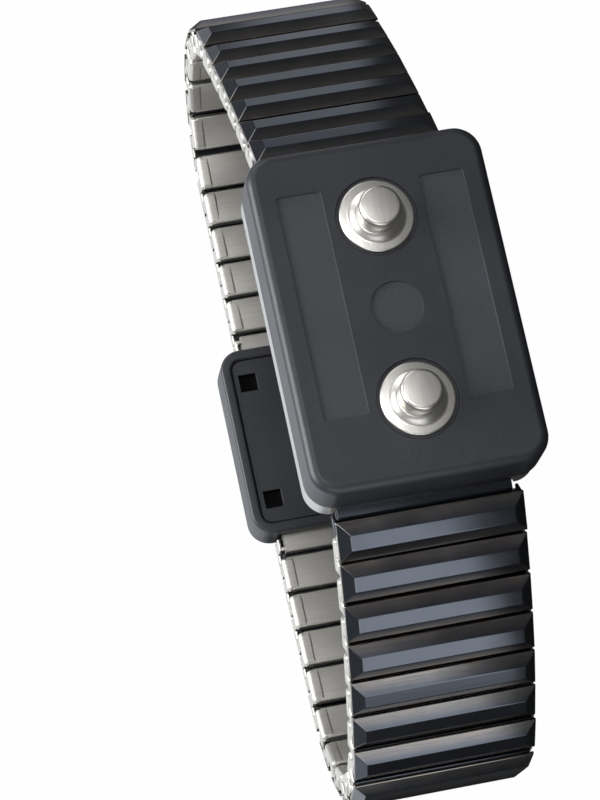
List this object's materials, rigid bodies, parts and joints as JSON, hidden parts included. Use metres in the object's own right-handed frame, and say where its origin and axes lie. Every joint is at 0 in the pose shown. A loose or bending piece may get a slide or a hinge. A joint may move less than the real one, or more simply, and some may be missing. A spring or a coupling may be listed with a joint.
{
  "type": "esd wrist strap",
  "caption": "Metal expansion wrist band with a black two-stud snap housing and an insulator block, joined by spring links with black covers.",
  "frame": {"origin": "under the middle of the strap's box, on the surface it stands on", "axes": "+Z along the wrist, up; -Y out of the snap studs; X along the band at the housing"},
  "size_m": [0.0824, 0.0494, 0.0227],
  "materials": {
    "black_plastic": "black satin moulded plastic",
    "liner_plastic": "natural insulating plastic",
    "case_steel": "fine brushed stainless steel",
    "link_steel": "stainless steel link tubes, springs and staples",
    "link_black": "black glossy coating on the link covers",
    "stud_nickel": "nickel plated snap parts",
    "strip_brass": "brass strip"
  },
  "bodies": {
    "housing": {"housing_cover": "black_plastic", "case_back": "case_steel", "case_liner": "liner_plastic", "snap_stud_a": "stud_nickel", "stud_flange_a": "stud_nickel", "stud_rivet_a": "stud_nickel", "terminal_strip_a": "strip_brass", "end_link_a": "link_steel", "snap_stud_b": "stud_nickel", "stud_flange_b": "stud_nickel", "stud_rivet_b": "stud_nickel", "terminal_strip_b": "strip_brass", "end_link_b": "link_steel"},
    "link_a_01": {"band_a_link_01": "link_steel"},
    "link_a_02": {"band_a_link_02": "link_steel"},
    "link_a_03": {"band_a_link_03": "link_steel"},
    "link_a_04": {"band_a_link_04": "link_steel"},
    "link_a_05": {"band_a_link_05": "link_steel"},
    "link_a_06": {"band_a_link_06": "link_steel"},
    "link_a_07": {"band_a_link_07": "link_steel"},
    "link_a_08": {"band_a_link_08": "link_steel"},
    "link_a_09": {"band_a_link_09": "link_steel"},
    "link_a_10": {"band_a_link_10": "link_steel"},
    "link_a_11": {"band_a_link_11": "link_steel"},
    "link_a_12": {"band_a_link_12": "link_steel"},
    "link_a_13": {"band_a_link_13": "link_steel"},
    "link_a_14": {"band_a_link_14": "link_steel"},
    "link_a_15": {"band_a_link_15": "link_steel"},
    "link_a_16": {"band_a_link_16": "link_steel"},
    "link_a_17": {"band_a_link_17": "link_steel"},
    "link_b_01": {"band_b_link_01": "link_steel"},
    "link_b_02": {"band_b_link_02": "link_steel"},
    "link_b_03": {"band_b_link_03": "link_steel"},
    "link_b_04": {"band_b_link_04": "link_steel"},
    "link_b_05": {"band_b_link_05": "link_steel"},
    "link_b_06": {"band_b_link_06": "link_steel"},
    "link_b_07": {"band_b_link_07": "link_steel"},
    "link_b_08": {"band_b_link_08": "link_steel"},
    "link_b_09": {"band_b_link_09": "link_steel"},
    "link_b_10": {"band_b_link_10": "link_steel"},
    "link_b_11": {"band_b_link_11": "link_steel"},
    "link_b_12": {"band_b_link_12": "link_steel"},
    "link_b_13": {"band_b_link_13": "link_steel"},
    "link_b_14": {"band_b_link_14": "link_steel"},
    "link_b_15": {"band_b_link_15": "link_steel"},
    "link_b_16": {"band_b_link_16": "link_steel"},
    "block": {"block_shell": "black_plastic", "block_plate": "black_plastic", "block_divider": "liner_plastic", "block_clip_a": "link_steel", "block_clip_b": "link_steel"}
  },
  "joints": [
    {"name": "stretch", "type": "slide", "parent": "housing", "child": "link_a_01", "axis": [0.954, 0.3, 0], "range_m": [0, 0.00052], "stiffness_N_per_m": 1000},
    {"name": "slide_a_01", "type": "slide", "parent": "link_a_01", "child": "link_a_02", "axis": [0.8104, 0.5858, 0], "range_m": [0, 0.00052], "stiffness_N_per_m": 1000},
    {"name": "slide_a_02", "type": "slide", "parent": "link_a_02", "child": "link_a_03", "axis": [0.7906, 0.6124, 0], "range_m": [0, 0.00052], "stiffness_N_per_m": 1000},
    {"name": "slide_a_03", "type": "slide", "parent": "link_a_03", "child": "link_a_04", "axis": [0.7698, 0.6382, 0], "range_m": [0, 0.00052], "stiffness_N_per_m": 1000},
    {"name": "slide_a_04", "type": "slide", "parent": "link_a_04", "child": "link_a_05", "axis": [0.7483, 0.6634, 0], "range_m": [0, 0.00052], "stiffness_N_per_m": 1000},
    {"name": "slide_a_05", "type": "slide", "parent": "link_a_05", "child": "link_a_06", "axis": [0.7259, 0.6879, 0], "range_m": [0, 0.00052], "stiffness_N_per_m": 1000},
    {"name": "slide_a_06", "type": "slide", "parent": "link_a_06", "child": "link_a_07", "axis": [0.7026, 0.7115, 0], "range_m": [0, 0.00052], "stiffness_N_per_m": 1000},
    {"name": "slide_a_07", "type": "slide", "parent": "link_a_07", "child": "link_a_08", "axis": [0.5386, 0.8426, 0], "range_m": [0, 0.00052], "stiffness_N_per_m": 1000},
    {"name": "slide_a_08", "type": "slide", "parent": "link_a_08", "child": "link_a_09", "axis": [0.1802, 0.9836, 0], "range_m": [0, 0.00052], "stiffness_N_per_m": 1000},
    {"name": "slide_a_09", "type": "slide", "parent": "link_a_09", "child": "link_a_10", "axis": [-0.2049, 0.9788, 0], "range_m": [0, 0.00052], "stiffness_N_per_m": 1000},
    {"name": "slide_a_10", "type": "slide", "parent": "link_a_10", "child": "link_a_11", "axis": [-0.5596, 0.8288, 0], "range_m": [0, 0.00052], "stiffness_N_per_m": 1000},
    {"name": "slide_a_11", "type": "slide", "parent": "link_a_11", "child": "link_a_12", "axis": [-0.8313, 0.5559, 0], "range_m": [0, 0.00052], "stiffness_N_per_m": 1000},
    {"name": "slide_a_12", "type": "slide", "parent": "link_a_12", "child": "link_a_13", "axis": [-0.9797, 0.2005, 0], "range_m": [0, 0.00052], "stiffness_N_per_m": 1000},
    {"name": "slide_a_13", "type": "slide", "parent": "link_a_13", "child": "link_a_14", "axis": [-1, 0.0072, 0], "range_m": [0, 0.00035838], "stiffness_N_per_m": 1000},
    {"name": "slide_a_14", "type": "slide", "parent": "link_a_14", "child": "link_a_15", "axis": [-1, 0.0054, 0], "range_m": [0, 0.00035838], "stiffness_N_per_m": 1000},
    {"name": "slide_a_15", "type": "slide", "parent": "link_a_15", "child": "link_a_16", "axis": [-1, 0.0036, 0], "range_m": [0, 0.00035838], "stiffness_N_per_m": 1000},
    {"name": "slide_a_16", "type": "slide", "parent": "link_a_16", "child": "link_a_17", "axis": [-1, 0.0018, 0], "range_m": [0, 0.00035838], "stiffness_N_per_m": 1000},
    {"name": "slide_a_17", "type": "slide", "parent": "link_a_17", "child": "block", "axis": [-1, 0.0004, 0], "range_m": [0, 0.00035838], "stiffness_N_per_m": 1000},
    {"name": "slide_b_00", "type": "slide", "parent": "housing", "child": "link_b_01", "axis": [-0.9606, 0.2779, 0], "range_m": [0, 0.00052], "stiffness_N_per_m": 1000},
    {"name": "slide_b_01", "type": "slide", "parent": "link_b_01", "child": "link_b_02", "axis": [-0.8244, 0.5659, 0], "range_m": [0, 0.00052], "stiffness_N_per_m": 1000},
    {"name": "slide_b_02", "type": "slide", "parent": "link_b_02", "child": "link_b_03", "axis": [-0.7786, 0.6275, 0], "range_m": [0, 0.00052], "stiffness_N_per_m": 1000},
    {"name": "slide_b_03", "type": "slide", "parent": "link_b_03", "child": "link_b_04", "axis": [-0.7282, 0.6854, 0], "range_m": [0, 0.00052], "stiffness_N_per_m": 1000},
    {"name": "slide_b_04", "type": "slide", "parent": "link_b_04", "child": "link_b_05", "axis": [-0.6734, 0.7393, 0], "range_m": [0, 0.00052], "stiffness_N_per_m": 1000},
    {"name": "slide_b_05", "type": "slide", "parent": "link_b_05", "child": "link_b_06", "axis": [-0.6147, 0.7887, 0], "range_m": [0, 0.00052], "stiffness_N_per_m": 1000},
    {"name": "slide_b_06", "type": "slide", "parent": "link_b_06", "child": "link_b_07", "axis": [-0.5524, 0.8336, 0], "range_m": [0, 0.00052], "stiffness_N_per_m": 1000},
    {"name": "slide_b_07", "type": "slide", "parent": "link_b_07", "child": "link_b_08", "axis": [-0.3401, 0.9404, 0], "range_m": [0, 0.00053165], "stiffness_N_per_m": 1000},
    {"name": "slide_b_08", "type": "slide", "parent": "link_b_08", "child": "link_b_09", "axis": [0.0526, 0.9986, 0], "range_m": [0, 0.00053165], "stiffness_N_per_m": 1000},
    {"name": "slide_b_09", "type": "slide", "parent": "link_b_09", "child": "link_b_10", "axis": [0.437, 0.8995, 0], "range_m": [0, 0.00053165], "stiffness_N_per_m": 1000},
    {"name": "slide_b_10", "type": "slide", "parent": "link_b_10", "child": "link_b_11", "axis": [0.7525, 0.6586, 0], "range_m": [0, 0.00053165], "stiffness_N_per_m": 1000},
    {"name": "slide_b_11", "type": "slide", "parent": "link_b_11", "child": "link_b_12", "axis": [0.9495, 0.3139, 0], "range_m": [0, 0.00053165], "stiffness_N_per_m": 1000},
    {"name": "slide_b_12", "type": "slide", "parent": "link_b_12", "child": "link_b_13", "axis": [0.9944, 0.106, 0], "range_m": [0, 0.00035838], "stiffness_N_per_m": 1000},
    {"name": "slide_b_13", "type": "slide", "parent": "link_b_13", "child": "link_b_14", "axis": [0.9968, 0.0796, 0], "range_m": [0, 0.00035838], "stiffness_N_per_m": 1000},
    {"name": "slide_b_14", "type": "slide", "parent": "link_b_14", "child": "link_b_15", "axis": [0.9986, 0.0531, 0], "range_m": [0, 0.00035838], "stiffness_N_per_m": 1000},
    {"name": "slide_b_15", "type": "slide", "parent": "link_b_15", "child": "link_b_16", "axis": [0.9996, 0.0265, 0], "range_m": [0, 0.00035838], "stiffness_N_per_m": 1000}
  ],
  "couplings": [
    {"joint": "slide_a_01", "follows": "stretch", "ratio": 1},
    {"joint": "slide_a_02", "follows": "stretch", "ratio": 1},
    {"joint": "slide_a_03", "follows": "stretch", "ratio": 1},
    {"joint": "slide_a_04", "follows": "stretch", "ratio": 1},
    {"joint": "slide_a_05", "follows": "stretch", "ratio": 1},
    {"joint": "slide_a_06", "follows": "stretch", "ratio": 1},
    {"joint": "slide_a_07", "follows": "stretch", "ratio": 1},
    {"joint": "slide_a_08", "follows": "stretch", "ratio": 1},
    {"joint": "slide_a_09", "follows": "stretch", "ratio": 1},
    {"joint": "slide_a_10", "follows": "stretch", "ratio": 1},
    {"joint": "slide_a_11", "follows": "stretch", "ratio": 1},
    {"joint": "slide_a_12", "follows": "stretch", "ratio": 1},
    {"joint": "slide_a_13", "follows": "stretch", "ratio": 0.68918},
    {"joint": "slide_a_14", "follows": "stretch", "ratio": 0.68918},
    {"joint": "slide_a_15", "follows": "stretch", "ratio": 0.68918},
    {"joint": "slide_a_16", "follows": "stretch", "ratio": 0.68918},
    {"joint": "slide_a_17", "follows": "stretch", "ratio": 0.68918},
    {"joint": "slide_b_00", "follows": "stretch", "ratio": 1},
    {"joint": "slide_b_01", "follows": "stretch", "ratio": 1},
    {"joint": "slide_b_02", "follows": "stretch", "ratio": 1},
    {"joint": "slide_b_03", "follows": "stretch", "ratio": 1},
    {"joint": "slide_b_04", "follows": "stretch", "ratio": 1},
    {"joint": "slide_b_05", "follows": "stretch", "ratio": 1},
    {"joint": "slide_b_06", "follows": "stretch", "ratio": 1},
    {"joint": "slide_b_07", "follows": "stretch", "ratio": 1.0224},
    {"joint": "slide_b_08", "follows": "stretch", "ratio": 1.0224},
    {"joint": "slide_b_09", "follows": "stretch", "ratio": 1.0224},
    {"joint": "slide_b_10", "follows": "stretch", "ratio": 1.0224},
    {"joint": "slide_b_11", "follows": "stretch", "ratio": 1.0224},
    {"joint": "slide_b_12", "follows": "stretch", "ratio": 0.68918},
    {"joint": "slide_b_13", "follows": "stretch", "ratio": 0.68918},
    {"joint": "slide_b_14", "follows": "stretch", "ratio": 0.68918},
    {"joint": "slide_b_15", "follows": "stretch", "ratio": 0.68918}
  ]
}
